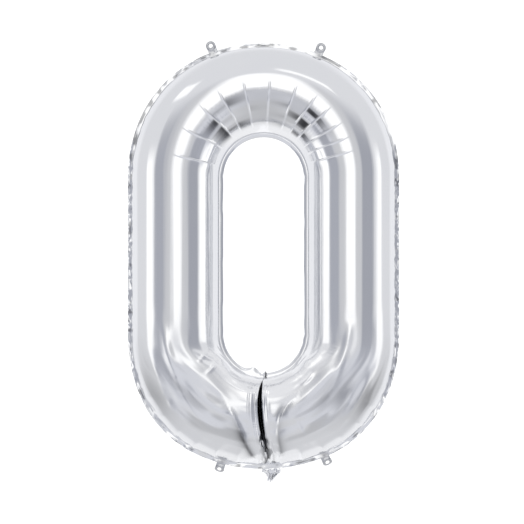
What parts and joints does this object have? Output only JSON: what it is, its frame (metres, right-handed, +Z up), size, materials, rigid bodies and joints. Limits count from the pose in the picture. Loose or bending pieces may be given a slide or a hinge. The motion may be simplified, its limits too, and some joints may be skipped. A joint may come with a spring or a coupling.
{
  "type": "foil number balloon",
  "caption": "Inflated foil balloon in the shape of the digit zero, with a welded edge, hanging tabs and a self-sealing filling tail.",
  "frame": {"origin": "the middle of the inflated balloon's box: half way between the tips of the top tabs and the end of the tail, on the seam's plane", "axes": "+Z up as it hangs, +X to the right seen from the front, the front faces -Y, and the outer seam lies in the plane y = 0"},
  "size_m": [0.528, 0.172, 0.8602],
  "materials": {
    "foil_front": "bright silver metallised film, mirror-like, with fine creases",
    "foil_back": "bright silver metallised film, mirror-like, with fine creases",
    "fused_film": "heat-sealed silver film, duller and finely crinkled",
    "valve_film": "thin milky polyethylene film"
  },
  "bodies": {
    "balloon": {"front_panel": "foil_front", "back_panel": "foil_back", "outer_weld": "fused_film", "inner_weld": "fused_film"},
    "top_left_tab": {"tab_top_left": "fused_film"},
    "top_right_tab": {"tab_top_right": "fused_film"},
    "bottom_left_tab": {"tab_bottom_left": "fused_film"},
    "bottom_right_tab": {"tab_bottom_right": "fused_film"},
    "tail": {"tail_front_film": "foil_front", "tail_back_film": "foil_back"},
    "valve_front": {"valve_front_film": "valve_film"},
    "valve_back": {"valve_back_film": "valve_film"}
  },
  "joints": [
    {"name": "bend_top_left_tab", "type": "hinge", "parent": "balloon", "child": "top_left_tab", "pos_m": [-0.10057, 0, 0.40805], "axis": [0.9245, 0, 0.3811], "range_deg": [-80, 80], "stiffness_Nm_per_rad": 0.00002},
    {"name": "bend_top_right_tab", "type": "hinge", "parent": "balloon", "child": "top_right_tab", "pos_m": [0.1096, 0, 0.40454], "axis": [0.91, 0, -0.4147], "range_deg": [-80, 80], "stiffness_Nm_per_rad": 0.00002},
    {"name": "bend_bottom_left_tab", "type": "hinge", "parent": "balloon", "child": "bottom_left_tab", "pos_m": [-0.08259, 0, -0.39214], "axis": [-0.9511, 0, 0.309], "range_deg": [-80, 80], "stiffness_Nm_per_rad": 0.00002},
    {"name": "bend_bottom_right_tab", "type": "hinge", "parent": "balloon", "child": "bottom_right_tab", "pos_m": [0.11943, 0, -0.3796], "axis": [-0.8965, 0, -0.4431], "range_deg": [-80, 80], "stiffness_Nm_per_rad": 0.00002},
    {"name": "bend_tail", "type": "hinge", "parent": "balloon", "child": "tail", "pos_m": [0.01226, 0, -0.40894], "axis": [-1, 0, 0], "range_deg": [-80, 80], "stiffness_Nm_per_rad": 0.00005},
    {"name": "open_valve_front", "type": "hinge", "parent": "balloon", "child": "valve_front", "pos_m": [0.01226, -0.00035, -0.39974], "axis": [1, 0, 0], "range_deg": [0, 5], "stiffness_Nm_per_rad": 0.0004},
    {"name": "open_valve_back", "type": "hinge", "parent": "balloon", "child": "valve_back", "pos_m": [0.01226, 0.00035, -0.39974], "axis": [-1, 0, 0], "range_deg": [0, 5], "stiffness_Nm_per_rad": 0.0004}
  ],
  "couplings": [
    {"joint": "open_valve_back", "follows": "open_valve_front", "ratio": 1}
  ]
}
